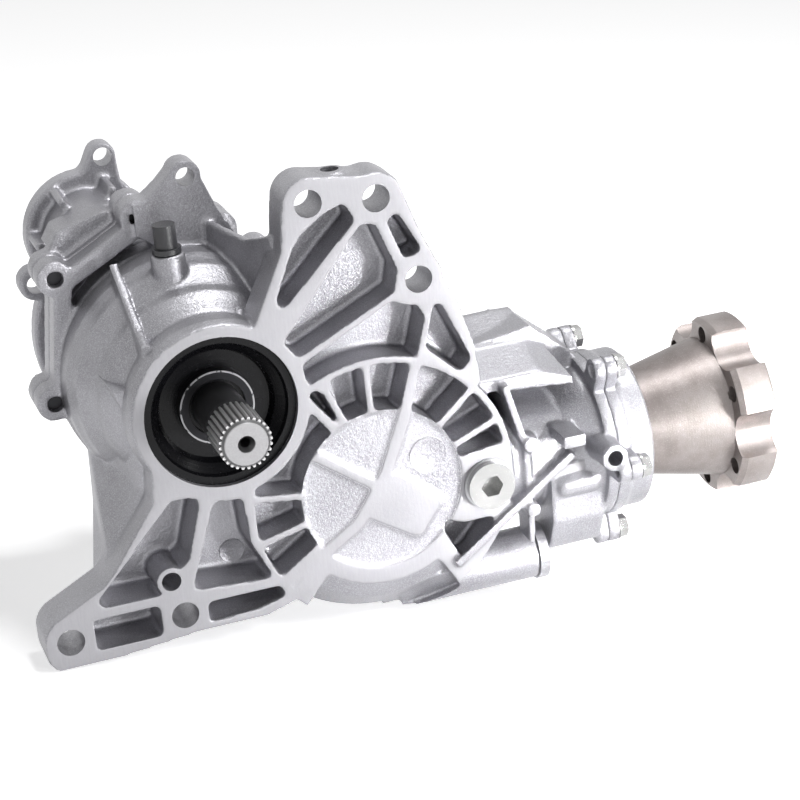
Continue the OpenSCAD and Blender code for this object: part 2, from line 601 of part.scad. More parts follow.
// Output flange
hub_r = 22;
nut_r = hub_r - 2.5;
nut_h = 13;
cup_r = 33;
flange_web_x = flange_end_x - 19.5;
nut_seat_x = flange_web_x - 24;
module tab_gap() {
    translate([flange_r + 3, 0]) circle(r = 13);
    translate([flange_r - 3, -10]) square([12, 20]);
}
module output_flange() {
    color("rosybrown") difference() {
        turned_x(pinion_y, transfer_z, [
            [pinion_spline_r, pinion_rear_x + pinion_bearing_w], [hub_r, pinion_rear_x + pinion_bearing_w],
            [hub_r, carrier_x + 0.5], [27, carrier_x + 3], [36, flange_web_x - 2], [36.5, flange_web_x],
            [flange_r - 1.5, flange_web_x], [flange_r, flange_web_x + 3], [flange_r, flange_end_x - 1],
            [flange_r - 1, flange_end_x], [cup_r, flange_end_x], [cup_r, flange_web_x + 4],
            [24, flange_web_x - 4], [24, nut_seat_x], [pinion_spline_r, nut_seat_x]]);
        translate([flange_web_x - 1, pinion_y, transfer_z]) rotate([90, 0, 90]) linear_extrude(30)
            for (i = [0 : tabs - 1]) rotate(62 + 360 / tabs * i) tab_gap();
        for (i = [0 : tabs - 1]) let (a = 92 + 360 / tabs * i)
            disc_x(pinion_y + flange_bolt_pcr * cos(a), transfer_z + flange_bolt_pcr * sin(a), flange_hole_r,
                   flange_web_x - 1, flange_end_x + 1);
    }
}

// Shafts and gears
module link_shaft() {
    color("dimgray") difference() {
        union() {
            translate([0, spline_len - stub_out, 0]) rotate([90, 0, 0]) linear_extrude(spline_len - 1.5)
                polygon(spline_points(link_splines, link_spline_r, link_spline_r - 1.3));
            turned_y(0, 0, [[0, -stub_out], [link_spline_r - 2.6, -stub_out], [link_spline_r - 1.3, 1.5 - stub_out],
                            [link_spline_r - 1.3, spline_len - stub_out], [link_r, spline_len - stub_out + 3],
                            [link_r, rear_y - 12], [link_r - 1, rear_y - 9], [link_r - 1, rear_y + 20],
                            [link_r - 2.5, rear_y + 22], [0, rear_y + 22]]);
        }
        turned_y(0, 0, [[0, -stub_out - 1], [4.2, -stub_out - 1], [4.2, -stub_out], [2.4, 3 - stub_out],
                        [2.4, 12 - stub_out], [0, 13.5 - stub_out]]);
    }
}
input_bore_r = link_spline_r + 1.3;
module input_shaft() {
    color("slategray") difference() {
        union() {
            turned_y(0, 0, [
                [input_bore_r, 8], [sleeve_r, 8], [sleeve_r, input_front_y - 3], [input_seat_r + 2.5, input_front_y - 3],
                [input_seat_r + 2.5, input_front_y], [input_seat_r, input_front_y],
                [input_seat_r, input_front_y + input_bearing_w], [input_seat_r + 4, input_front_y + input_bearing_w + 3],
                [input_seat_r + 4, input_rear_y], [input_seat_r, input_rear_y],
                [input_seat_r, input_rear_y + input_bearing_w + 8], [20.5, input_rear_y + input_bearing_w + 10],
                [20.5, rear_y + 8], [input_bore_r, rear_y + 8]]);
            translate([0, rear_y + 6, 0]) rotate([90, 0, 0]) linear_extrude(24)
                difference() {
                    polygon(spline_points(36, 22, 20.2));
                    circle(r = input_bore_r + 2);
                }
        }
    }
}
module spur(x, z, teeth, bore, turn) {
    translate([x, spur_y + spur_w, z]) rotate([90, 0, 0]) linear_extrude(spur_w) difference() {
        rotate(turn) polygon(spur_points(teeth, spur_m, backlash));
        circle(r = bore);
    }
}
mesh_turn = atan2(transfer_z, transfer_x);
module input_gear() {
    color("darkgray") spur(0, 0, input_teeth, input_seat_r + 4, mesh_turn);
}
module transfer_gear() {
    color("darkgray")
        spur(transfer_x, transfer_z, transfer_teeth, transfer_seat_r + 6, mesh_turn + 180 + 180 / transfer_teeth);
}
ring_back_y = pinion_y + pinion_r + 10;
module transfer_shaft() {
    color("slategray") turned_y(transfer_x, transfer_z, [
        [0, transfer_front_y], [transfer_seat_r, transfer_front_y], [transfer_seat_r, transfer_front_y + transfer_bearing_w],
        [transfer_seat_r + 3, transfer_front_y + transfer_bearing_w], [transfer_seat_r + 3, ring_back_y],
        [transfer_seat_r + 11, ring_back_y], [transfer_seat_r + 11, ring_back_y + 3],
        [transfer_seat_r + 6, ring_back_y + 3], [transfer_seat_r + 6, spur_y + spur_w + 1],
        [transfer_seat_r + 2.5, spur_y + spur_w + 1], [transfer_seat_r + 2.5, transfer_rear_y],
        [transfer_seat_r, transfer_rear_y], [transfer_seat_r, transfer_rear_y + transfer_bearing_w],
        [0, transfer_rear_y + transfer_bearing_w]]);
}
module ring_gear() {
    heel = on_cone(ring_angle, root_tilt, cone_len);
    toe = on_cone(ring_angle, root_tilt, cone_len * bevel_inner);
    color("darkgray") {
        turned_y(transfer_x, transfer_z, [
            [transfer_seat_r + 3, ring_back_y - 8], [toe[0] - 1, pinion_y + toe[1] + 0.5],
            [toe[0], pinion_y + toe[1]], [heel[0], pinion_y + heel[1]], [heel[0] + 1, pinion_y + heel[1] + 1],
            [heel[0] + 1, ring_back_y - 1], [heel[0], ring_back_y], [transfer_seat_r + 3, ring_back_y]]);
        translate([transfer_x, pinion_y, transfer_z]) rotate([-90, 0, 0])
            for (i = [0 : ring_teeth - 1]) rotate(360 / ring_teeth * i) bevel_tooth(ring_angle, ring_teeth);
    }
}
pinion_spline_r = 12;
module pinion_shaft() {
    heel = on_cone(pinion_angle, root_tilt, cone_len);
    toe = on_cone(pinion_angle, root_tilt, cone_len * bevel_inner);
    color("slategray") {
        turned_x(pinion_y, transfer_z, [
            [0, transfer_x + toe[1]], [toe[0], transfer_x + toe[1]], [heel[0], transfer_x + heel[1]],
            [heel[0], pinion_head_x], [pinion_seat_r + 2.5, pinion_head_x + 2],
            [pinion_seat_r + 2.5, pinion_front_x], [pinion_seat_r, pinion_front_x],
            [pinion_seat_r, pinion_rear_x + pinion_bearing_w],
            [pinion_spline_r, pinion_rear_x + pinion_bearing_w], [pinion_spline_r, nut_seat_x],
            [pinion_spline_r - 1, nut_seat_x], [pinion_spline_r - 1, nut_seat_x + 17], [0, nut_seat_x + 18]]);
        translate([transfer_x, pinion_y, transfer_z]) rotate([0, 90, 0])
            for (i = [0 : pinion_teeth - 1]) rotate(90 + 360 / pinion_teeth * (i + 0.5))
                bevel_tooth(pinion_angle, pinion_teeth);
    }
}
module pinion_nut() {
    color("gray") translate([nut_seat_x, pinion_y, transfer_z]) rotate([90, 0, 90]) linear_extrude(nut_h)
        difference() {
            circle(r = nut_r, $fn = 6);
            circle(r = pinion_spline_r - 1);
        }
}
module crush_sleeve() {
    color("darkgray") tube_x(pinion_y, transfer_z, pinion_seat_r, pinion_seat_r + 3.5,
                             pinion_front_x + pinion_bearing_w, pinion_rear_x);
}

// Ball bearings on the input shaft
input_mid_r = (input_seat_r + input_bearing_r) / 2;
ball_r = (input_bearing_r - input_seat_r) * 0.27;
ball_gap = 0.02;
land = 1.8;
input_ball_count = 17;
module at_y(x, z, y) {
    translate([x, y, z]) rotate([-90, 0, 0]) children();
}
module input_bearings() {
    for (y = [input_front_y, input_rear_y]) at_y(0, 0, y) children();
}
module ball_row(r) {
    for (i = [0 : input_ball_count - 1]) rotate(360 / input_ball_count * i)
        translate([input_mid_r, 0, input_bearing_w / 2]) sphere(r = r, $fn = 32);
}
module grooved_ring(r0, r1) {
    rotate_extrude() difference() {
        translate([r0, 0]) square([r1 - r0, input_bearing_w]);
        translate([input_mid_r, input_bearing_w / 2]) circle(r = ball_r + ball_gap);
    }
}
module input_inner_races() {
    color("silver") input_bearings() grooved_ring(input_seat_r, input_mid_r - land);
}
module input_outer_races() {
    color("silver") input_bearings() grooved_ring(input_mid_r + land, input_bearing_r);
}
module input_balls() {
    color("white") input_bearings() ball_row(ball_r);
}
module input_cages() {
    color("gray") input_bearings() difference() {
        rotate_extrude() translate([input_mid_r - 1, 2.5]) square([2, input_bearing_w - 5]);
        for (i = [0 : input_ball_count - 1]) rotate(360 / input_ball_count * i)
            translate([input_mid_r - 4, 0, input_bearing_w / 2]) rotate([0, 90, 0])
                cylinder(r = ball_r + 0.1, h = 8, $fn = 32);
    }
}

// Tapered roller bearings: cones whose points meet on the shaft axis
taper = 12;
roller_gap = 0.02;
function roller_tilt(r0, r1) = atan(roller_r(r0, r1) * cos(taper) / ((r0 + r1) / 2) * sin(taper));
function roller_r(r0, r1) = (r1 - r0) * 0.215;
function apex(r0, r1, w) = w / 2 - (r0 + r1) / 2 / tan(taper);
module cone_ring(r0, r1, w) {
    low = tan(taper - roller_tilt(r0, r1));
    a = apex(r0, r1, w);
    rotate_extrude() polygon([[r0, 0], [-a * low - roller_gap, 0], [(w - 1 - a) * low - roller_gap, w - 1],
                              [r0, w - 1]]);
}
module cup_ring(r0, r1, w) {
    high = tan(taper + roller_tilt(r0, r1));
    a = apex(r0, r1, w);
    rotate_extrude() polygon([[(1 - a) * high + roller_gap, 1], [r1, 1], [r1, w],
                              [(w - a) * high + roller_gap, w]]);
}
module rollers(r0, r1, w, n, grow = 0) {
    tilt = roller_tilt(r0, r1);
    a = apex(r0, r1, w);
    s0 = (2.5 - a) / cos(taper) - grow;
    s1 = (w - 2.5 - a) / cos(taper) + grow;
    for (i = [0 : n - 1]) rotate(360 / n * i) translate([0, 0, a]) rotate([0, taper, 0]) translate([0, 0, s0])
        cylinder(r1 = s0 * tan(tilt) + grow, r2 = s1 * tan(tilt) + grow, h = s1 - s0, $fn = 24);
}
module roller_cage(r0, r1, w, n) {
    a = apex(r0, r1, w);
    t = tan(taper);
    difference() {
        rotate_extrude() polygon([[(1.2 - a) * t - 0.7, 1.2], [(1.2 - a) * t + 0.7, 1.2],
                                  [(w - 1.2 - a) * t + 0.7, w - 1.2], [(w - 1.2 - a) * t - 0.7, w - 1.2]]);
        rollers(r0, r1, w, n, 0.15);
    }
}
transfer_rollers_n = 16;
pinion_rollers_n = 18;
module transfer_bearings() {
    at_y(transfer_x, transfer_z, transfer_front_y + transfer_bearing_w) mirror([0, 0, 1]) children();
    at_y(transfer_x, transfer_z, transfer_rear_y) children();
}
module pinion_bearings() {
    translate([pinion_front_x + pinion_bearing_w, pinion_y, transfer_z]) rotate([0, 90, 0]) mirror([0, 0, 1])
        children();
    translate([pinion_rear_x, pinion_y, transfer_z]) rotate([0, 90, 0]) children();
}
module transfer_cones() {
    color("silver") transfer_bearings() cone_ring(transfer_seat_r, transfer_bearing_r, transfer_bearing_w);
}
module transfer_cups() {
    color("silver") transfer_bearings() cup_ring(transfer_seat_r, transfer_bearing_r, transfer_bearing_w);
}
module transfer_rollers() {
    color("white") transfer_bearings()
        rollers(transfer_seat_r, transfer_bearing_r, transfer_bearing_w, transfer_rollers_n);
}
module transfer_cages() {
    color("gray") transfer_bearings()
        roller_cage(transfer_seat_r, transfer_bearing_r, transfer_bearing_w, transfer_rollers_n);
}
module pinion_cones() {
    color("silver") pinion_bearings() cone_ring(pinion_seat_r, pinion_bearing_r, pinion_bearing_w);
}
module pinion_cups() {
    color("silver") pinion_bearings() cup_ring(pinion_seat_r, pinion_bearing_r, pinion_bearing_w);
}
module pinion_rollers() {
    color("white") pinion_bearings()
        rollers(pinion_seat_r, pinion_bearing_r, pinion_bearing_w, pinion_rollers_n);
}
module pinion_cages() {
    color("gray") pinion_bearings()
        roller_cage(pinion_seat_r, pinion_bearing_r, pinion_bearing_w, pinion_rollers_n);
}

// Seals
module main_seal() {
    color([0.06, 0.06, 0.06]) turned_y(0, 0, [
        [bore_r, seal_y], [bore_r, seal_y + seal_w], [sleeve_r + run, seal_y + seal_w], [sleeve_r + run, seal_y + seal_w - 2],
        [bore_r - 10.5, seal_y + seal_w - 2.5], [bore_r - 9, seal_y + 6], [bore_r - 5, seal_y + 2], [bore_r - 4, seal_y]]);
}
module shaft_seal() {
    color([0.06, 0.06, 0.06]) tube_y(0, 0, link_r + run, input_bore_r, 10, 18);
}
module pinion_seal() {
    color([0.06, 0.06, 0.06]) turned_x(pinion_y, transfer_z, [
        [nose_r, carrier_x - 10], [nose_r, carrier_x - 1], [nose_r - 4, carrier_x - 1], [hub_r + 5, carrier_x - 6],
        [hub_r + run, carrier_x - 6], [hub_r + run, carrier_x - 9], [nose_r - 3, carrier_x - 10]]);
}

// Fittings
module fill_plug() {
    color("lightgray") difference() {
        union() {
            disc_y(plug_at[0], plug_at[1], plug_r, -5, -1);
            disc_y(plug_at[0], plug_at[1], plug_r - 3, -2, 9);
        }
        plate_y(-6, 3) translate(plug_at) circle(r = 5.8, $fn = 6);
    }
}
module plug_washer() {
    color("darkgray") tube_y(plug_at[0], plug_at[1], plug_r - 3, plug_r + 1, -1, 0);
}
module vent_tube() {
    color("gray") translate([vent_x, vent_y, vent_boss_top - 14]) difference() {
        cylinder(r = vent_tube_r, h = vent_tube_top - vent_boss_top + 14);
        translate([0, 0, -1]) cylinder(r = 1.5, h = 28);
    }
}
module vent_cap() {
    color([0.08, 0.08, 0.08]) translate([vent_x, vent_y, vent_boss_top + 0.5]) difference() {
        union() {
            cylinder(r = vent_r + 0.6, h = 2.5);
            cylinder(r = vent_r - 1, h = 14);
        }
        translate([0, 0, -1]) cylinder(r = vent_tube_r, h = 11);
    }
}
module tube_cap() {
    color("silver") disc_x(tube_y_at, tube_z, tube_r + 1, tube_end_x, tube_end_x + 5);
}
module joint_bolts() {
    color("dimgray") for (p = lugs) {
        disc_y(p[0], p[1], joint_bolt_r, joint_y - flange_t + 4, joint_y + flange_t);
        plate_y(joint_y + flange_t, joint_y + flange_t + bolt_head_h) translate(p) circle(r = 7, $fn = 6);
    }
}
module carrier_bolts() {
    color("silver") for (a = carrier_angles)
        translate([0, pinion_y + carrier_bolt_pcr * cos(a), transfer_z + carrier_bolt_pcr * sin(a)]) {
            disc_x(0, 0, 3.5, housing_end_x - lug_t + 2, carrier_lug_x);
            plate_x(carrier_lug_x, carrier_lug_x + bolt_head_h) circle(r = 5.8, $fn = 6);
            disc_x(0, 0, 6.4, carrier_lug_x, carrier_lug_x + 1);
        }
}

main_case();
rear_cover();
pinion_carrier();
output_flange();
link_shaft();
input_shaft();
input_gear();
transfer_gear();
transfer_shaft();
ring_gear();
pinion_shaft();
pinion_nut();
crush_sleeve();
input_inner_races();
input_outer_races();
input_balls();
input_cages();
transfer_cones();
transfer_cups();
transfer_rollers();
transfer_cages();
pinion_cones();
pinion_cups();
pinion_rollers();
pinion_cages();
main_seal();
shaft_seal();
pinion_seal();
fill_plug();
plug_washer();
vent_tube();
vent_cap();
tube_cap();
joint_bolts();
carrier_bolts();
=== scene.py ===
"""Looks of a cast aluminium power transfer unit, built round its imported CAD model."""
import json
import math

import bpy
from mathutils import Matrix, Vector

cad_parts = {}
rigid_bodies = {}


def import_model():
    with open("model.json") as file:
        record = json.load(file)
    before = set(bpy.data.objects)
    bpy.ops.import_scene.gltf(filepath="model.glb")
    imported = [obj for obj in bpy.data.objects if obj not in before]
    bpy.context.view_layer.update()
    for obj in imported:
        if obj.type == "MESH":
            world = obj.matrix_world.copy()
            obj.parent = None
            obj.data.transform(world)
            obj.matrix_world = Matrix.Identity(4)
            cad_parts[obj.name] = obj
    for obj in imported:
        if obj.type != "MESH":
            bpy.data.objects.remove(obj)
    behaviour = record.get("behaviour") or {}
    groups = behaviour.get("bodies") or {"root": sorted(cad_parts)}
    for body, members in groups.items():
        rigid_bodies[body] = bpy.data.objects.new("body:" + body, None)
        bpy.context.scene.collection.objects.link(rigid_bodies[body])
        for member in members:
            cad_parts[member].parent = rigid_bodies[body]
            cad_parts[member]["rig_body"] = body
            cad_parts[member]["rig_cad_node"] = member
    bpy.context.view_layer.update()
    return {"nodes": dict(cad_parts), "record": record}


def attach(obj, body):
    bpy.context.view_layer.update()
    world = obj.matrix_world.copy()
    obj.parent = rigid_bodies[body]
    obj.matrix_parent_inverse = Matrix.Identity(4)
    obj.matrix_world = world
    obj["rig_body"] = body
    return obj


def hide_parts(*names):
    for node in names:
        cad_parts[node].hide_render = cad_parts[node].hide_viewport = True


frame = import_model()
nodes = frame["nodes"]
MM = 0.001


def rgb(r, g, b):
    return (r, g, b, 1.0)


# Camera, found from the round edges that the photograph shows
CAMERA_AT = Vector((-233.23, -1074.01, 434.02)) * MM
CAMERA_RIGHT = Vector((0.9425, -0.3207, -0.0940))
CAMERA_UP = Vector((0.2024, 0.3239, 0.9242))
FOCAL_PIXELS = 2504.8
IMAGE_PIXELS = 800
SENSOR_WIDTH = 36.0
NEAR, FAR = 0.05, 60.0


def add_camera():
    bpy.ops.object.camera_add(location=CAMERA_AT)
    camera = bpy.context.object
    camera.name = "camera"
    back = CAMERA_RIGHT.cross(CAMERA_UP).normalized()
    up = back.cross(CAMERA_RIGHT).normalized()
    right = up.cross(back)
    turn = Matrix((right, up, back)).transposed()
    camera.rotation_euler = turn.to_euler()
    camera.data.sensor_width = SENSOR_WIDTH
    camera.data.lens = FOCAL_PIXELS / IMAGE_PIXELS * SENSOR_WIDTH
    camera.data.clip_start = NEAR
    camera.data.clip_end = FAR
    bpy.context.scene.camera = camera


# Shader maths


class Value:
    """A socket of a shader, with the usual operators."""

    def __init__(self, finish, socket):
        self.finish = finish
        self.socket = socket

    def maths(self, operation, *others):
        return self.finish.add("ShaderNodeMath", {"operation": operation},
                               dict(enumerate((self, *others))))

    def __add__(self, other):
        return self.maths("ADD", other)

    __radd__ = __add__

    def __mul__(self, other):
        return self.maths("MULTIPLY", other)

    __rmul__ = __mul__

    def __sub__(self, other):
        return self.maths("SUBTRACT", other)

    def __rsub__(self, other):
        return self.finish.add("ShaderNodeMath", {"operation": "SUBTRACT"}, {0: other, 1: self})

    def __lt__(self, other):
        return self.maths("LESS_THAN", other)

    def __gt__(self, other):
        return self.maths("GREATER_THAN", other)

    def size(self):
        return self.maths("ABSOLUTE")

    def root(self):
        return self.maths("SQRT")

    def step(self, low, high):
        """0 below low, 1 above high, and smooth between."""
        return self.finish.add("ShaderNodeMapRange", {"interpolation_type": "SMOOTHSTEP"},
                               {0: self, 1: low, 2: high})


class Finish:
    """One material, built from nodes."""

    def __init__(self, name):
        self.material = bpy.data.materials.new(name)
        self.material.use_nodes = True
        self.tree = self.material.node_tree
        self.tree.nodes.clear()
        coordinates = self.tree.nodes.new("ShaderNodeTexCoord")
        self.place = Value(self, coordinates.outputs["Object"])
        self.normal = Value(self, coordinates.outputs["Normal"])
        split = self.tree.nodes.new("ShaderNodeSeparateXYZ")
        self.tree.links.new(coordinates.outputs["Object"], split.inputs[0])
        self.x, self.y, self.z = (Value(self, s) for s in split.outputs)

    def add(self, kind, settings=None, inputs=None, output=0):
        node = self.tree.nodes.new(kind)
        for key, setting in (settings or {}).items():
            if key == "stops":
                ramp = node.color_ramp
                while len(ramp.elements) < len(setting):
                    ramp.elements.new(0.5)
                for element, (at, colour) in zip(ramp.elements, setting):
                    element.position = at
                    element.color = colour
            else:
                setattr(node, key, setting)
        for key, given in (inputs or {}).items():
            socket = node.inputs[key]
            if isinstance(given, Value):
                self.tree.links.new(given.socket, socket)
            else:
                socket.default_value = given
        self.last = node
        return Value(self, node.outputs[output])

    def noise(self, scale, detail=3.0, roughness=0.55, place=None):
        return self.add("ShaderNodeTexNoise", {}, {"Vector": place or self.place, "Scale": scale,
                                                   "Detail": detail, "Roughness": roughness})

    def mix(self, share, first, second):
        return self.add("ShaderNodeMix", {"data_type": "RGBA"}, {0: share, 6: first, 7: second}, output=2)

    def stretched(self, x, y, z):
        return self.add("ShaderNodeMapping", {}, {"Vector": self.place, "Scale": (x, y, z)})

    def radius(self, first, second, at_first, at_second):
        """Distance from an axis, given by two coordinates."""
        a = first - at_first
        b = second - at_second
        return (a * a + b * b).root()

    def facing(self, axis):
        """How far the surface looks along an axis, from -1 to 1."""
        split = self.tree.nodes.new("ShaderNodeSeparateXYZ")
        self.tree.links.new(self.normal.socket, split.inputs[0])
        return Value(self, split.outputs["XYZ".index(axis)])

    def relief(self, height, distance, strength=1.0, under=None):
        inputs = {"Height": height, "Distance": distance, "Strength": strength}
        if under is not None:
            inputs["Normal"] = under
        return self.add("ShaderNodeBump", {}, inputs)

    def surface(self, **sockets):
        shader = self.tree.nodes.new("ShaderNodeBsdfPrincipled")
        for key, given in sockets.items():
            socket = shader.inputs[key.replace("_", " ")]
            if isinstance(given, Value):
                self.tree.links.new(given.socket, socket)
            else:
                socket.default_value = given
        out = self.tree.nodes.new("ShaderNodeOutputMaterial")
        self.tree.links.new(shader.outputs[0], out.inputs[0])
        return self.material


pieces = []
MERGE = 0.000005
CAST_SHADE_ANGLE = 32
DETAIL_SHADE_ANGLE = 35


# Cast pieces, made from the CAD solids with the edges and corners that a mould leaves


def only(piece):
    bpy.ops.object.select_all(action="DESELECT")
    piece.select_set(True)
    bpy.context.view_layer.objects.active = piece


def apply_modifier(piece, kind, **settings):
    only(piece)
    modifier = piece.modifiers.new("step", kind)
    for key, setting in settings.items():
        setattr(modifier, key, setting)
    bpy.ops.object.modifier_apply(modifier="step")


def copy_of(node, name):
    """A merged copy of a CAD node's mesh, as a piece of its own."""
    only(nodes[node])
    bpy.ops.object.duplicate()
    piece = bpy.context.object
    bpy.ops.object.parent_clear(type="CLEAR_KEEP_TRANSFORM")
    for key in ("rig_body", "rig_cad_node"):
        if key in piece:
            del piece[key]
    piece.name = name
    bpy.ops.object.mode_set(mode="EDIT")
    bpy.ops.mesh.select_all(action="SELECT")
    bpy.ops.mesh.remove_doubles(threshold=MERGE)
    bpy.ops.object.mode_set(mode="OBJECT")
    return piece


def along(axis, at, radius, low, high, sides=64):
    """A cylinder along an axis, from low to high on it; at gives the other two coordinates."""
    middle = (low + high) / 2
    place = {"X": (middle, at[0], at[1]), "Y": (at[0], middle, at[1]), "Z": (at[0], at[1], middle)}[axis]
    turn = {"X": (0, math.pi / 2, 0), "Y": (math.pi / 2, 0, 0), "Z": (0, 0, 0)}[axis]
    bpy.ops.object.select_all(action="DESELECT")
    bpy.ops.mesh.primitive_cylinder_add(vertices=sides, radius=radius * MM, depth=(high - low) * MM,
                                        location=Vector(place) * MM, rotation=turn)
    piece = bpy.context.object
    bpy.ops.object.transform_apply(location=True, rotation=True, scale=True)
    return piece


def wedge(corners):
    """A box with its corners moved: the lower four, then the upper four."""
    bpy.ops.object.select_all(action="DESELECT")
    bpy.ops.mesh.primitive_cube_add(size=1.0)
    piece = bpy.context.object
    order = [(-1, -1), (1, -1), (1, 1), (-1, 1)]
    for vertex in piece.data.vertices:
        side = order.index((1 if vertex.co.x > 0 else -1, 1 if vertex.co.y > 0 else -1))
        vertex.co = Vector(corners[side + (4 if vertex.co.z > 0 else 0)]) * MM
    return piece


def join(piece, others):
    only(piece)
    for other in others:
        other.select_set(True)
    bpy.ops.object.join()


def cut(piece, tool):
    apply_modifier(piece, "BOOLEAN", operation="DIFFERENCE", solver="EXACT", object=tool)
    bpy.data.objects.remove(tool)


def cast_piece(node, stock, drills, voxel, passes, faces):
    """Remeshes the node with its holes filled, rounds it as a casting, then drills the holes again."""
    piece = copy_of(node, "cast_" + node)
    join(piece, stock)
    apply_modifier(piece, "REMESH", mode="VOXEL", voxel_size=voxel * MM)
    apply_modifier(piece, "SMOOTH", factor=0.5, iterations=passes)
    count = sum(len(p.vertices) - 2 for p in piece.data.polygons)
    if count > faces:
        apply_modifier(piece, "DECIMATE", ratio=faces / count)
    for hole in drills:
        cut(piece, along(*hole))
    only(piece)
    bpy.ops.object.shade_smooth_by_angle(angle=math.radians(CAST_SHADE_ANGLE))
    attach(piece, "case")
    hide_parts(node)
    pieces.append(piece)


def dress(piece, material):
    slots = piece.data.materials
    if len(slots) == 0:
        slots.append(material)
    for i in range(len(slots)):
        slots[i] = material


# Finishes. Depths along Y at which one changes, in metres

MILLED_DEPTH = 0.00035
SPLINES_FROM = -0.0205
STUB_END = -0.0436
SLEEVE_MOUTH = 0.0086
BOLT_ENDS = 0.0812
POINTINESS = 7


def cast_aluminium():
    """Blasted casting skin, with the front plane milled and edges rubbed bright."""
    f = Finish("cast_aluminium")
    milled = (f.y.size() < MILLED_DEPTH) * (f.facing("Y").size() > 0.9)
    edge = f.add("ShaderNodeNewGeometry", output=POINTINESS).step(0.53, 0.62)
    worn = edge * f.noise(180.0, 4.0).step(0.35, 0.65)
    blotch = f.noise(22.0, 4.0)
    flow = f.noise(75.0, 3.0, place=f.stretched(1.0, 1.0, 0.4))
    grain = f.noise(1700.0, 2.0)
    pits = f.noise(620.0, 3.0, 0.6)
    skin = f.mix(blotch.step(0.3, 0.7), rgb(0.27, 0.266, 0.285), rgb(0.36, 0.356, 0.38))
    skin = f.mix(grain.step(0.4, 0.8), skin, rgb(0.50, 0.50, 0.53))
    skin = f.mix(worn * 0.55, skin, rgb(0.62, 0.62, 0.63))
    lathe = f.noise(900.0, 2.0, place=f.stretched(1.0, 1.0, 0.12))
    plane = f.mix(lathe, rgb(0.32, 0.317, 0.335), rgb(0.38, 0.376, 0.395))
    rough = 0.28 + blotch * 0.12 + pits * 0.08 + milled * 0.2
    height = (grain * 0.5 + pits) * (1.0 - milled * 0.75)
    bump = f.relief(height, 0.00024, under=f.relief(flow * (1.0 - milled), 0.00018))
    return f.surface(Base_Color=f.mix(milled, skin, plane), Metallic=0.7, Roughness=rough, Normal=bump)


def plain_metal(name, colour, rough, metallic=1.0, grain=0.00003):
    f = Finish(name)
    haze = f.noise(60.0, 3.0)
    scratch = f.noise(2200.0, 2.0)
    tint = tuple(0.84 * c for c in colour[:3]) + (1.0,)
    return f.surface(Base_Color=f.mix(haze.step(0.3, 0.7), tint, colour), Metallic=metallic,
                     Roughness=rough - 0.05 + haze * 0.1, Normal=f.relief(scratch, grain))


SLEEVE_R = max(
    math.hypot(v.co.x, v.co.z) for v in nodes["input_shaft"].data.vertices if v.co.y < 0.0085)


def splined_steel():
    """Shaft blackened by heat treatment, with the splines and the end ground bright, and painted shade in the
    roots between the spline teeth.
    """
    f = Finish("splined_steel")
    bright = f.y < SPLINES_FROM
    end = f.y < STUB_END
    haze = f.noise(90.0, 3.0)
    length = f.noise(700.0, 2.0, place=f.stretched(1.0, 0.05, 1.0))
    black = f.mix(haze, rgb(0.03, 0.03, 0.032), rgb(0.06, 0.06, 0.064))
    ground = f.mix(length, rgb(0.52, 0.515, 0.52), rgb(0.72, 0.715, 0.72))
    face = f.mix(f.noise(1400.0), rgb(0.30, 0.297, 0.305), rgb(0.40, 0.397, 0.405))
    # Painted shade: below the teeth's outer radius the spline roots turn dark, standing in for shade between the
    # teeth
    crest = f.radius(f.x, f.z, 0.0, 0.0).step(0.0112, 0.0124)
    ground = f.mix(crest, rgb(0.12, 0.12, 0.122), ground)
    colour = f.mix(end, f.mix(bright, black, ground), face)
    return f.surface(Base_Color=colour, Metallic=0.9, Roughness=0.42 - bright * 0.1 + haze * 0.06,
                     Normal=f.relief(length, 0.00008))


def bolt_steel():
    """Zinc plated heads; the ends that show in the front lugs are painted near-black as shade inside the lug
    holes.
    """
    f = Finish("bolt_steel")
    # Painted shade: in front of BOLT_ENDS the zinc bolts are coloured near-black, as the shade inside the front
    # lug holes
    end = f.y < BOLT_ENDS
    haze = f.noise(60.0, 3.0)
    plate = f.mix(haze.step(0.3, 0.7), rgb(0.39, 0.39, 0.385), rgb(0.47, 0.47, 0.465))
    return f.surface(Base_Color=f.mix(end, plate, rgb(0.035, 0.035, 0.038)), Metallic=0.9,
                     Roughness=0.22 + haze * 0.1 + end * 0.15, Normal=f.relief(f.noise(2200.0), 0.00003))


def sleeve_steel():
    """Hollow shaft behind the seal: black inside, with a painted highlight as a bright broken ring at the rim of
    its mouth.
    """
    f = Finish("sleeve_steel")
    out = f.radius(f.x, f.z, 0.0, 0.0)
    # Painted highlight: a thin, broken bright ring on the outer rim of the sleeve's front edge
    edge = (f.y < SLEEVE_MOUTH) * (out > SLEEVE_R - 0.0008) * (f.noise(300.0) > 0.38)
    rings = f.noise(1.0, 1.0, place=f.stretched(30.0, 2600.0, 30.0))
    colour = f.mix(edge, rgb(0.018, 0.018, 0.02), rgb(0.30, 0.30, 0.31))
    return f.surface(Base_Color=colour, Metallic=0.85, Roughness=0.34 + rings * 0.08,
                     Normal=f.relief(rings, 0.00006))


def seal_rubber():
    """Oiled black rubber moulded in rings, dusty on its outer wall."""
    f = Finish("seal_rubber")
    out = f.radius(f.x, f.z, 0.0, 0.0)
    rings = f.noise(1.0, 2.0, place=f.add("ShaderNodeCombineXYZ", {}, {0: out * 1500.0, 1: f.y * 1500.0}))
    dust = f.noise(420.0, 4.0, 0.7).step(0.6, 0.8)
    colour = f.mix(dust * 0.2, rgb(0.004, 0.004, 0.005), rgb(0.06, 0.06, 0.065))
    return f.surface(Base_Color=colour, Metallic=0.0, Specular_IOR_Level=0.2, Roughness=0.27 + dust * 0.35,
                     Normal=f.relief(rings, 0.0001, 0.6))


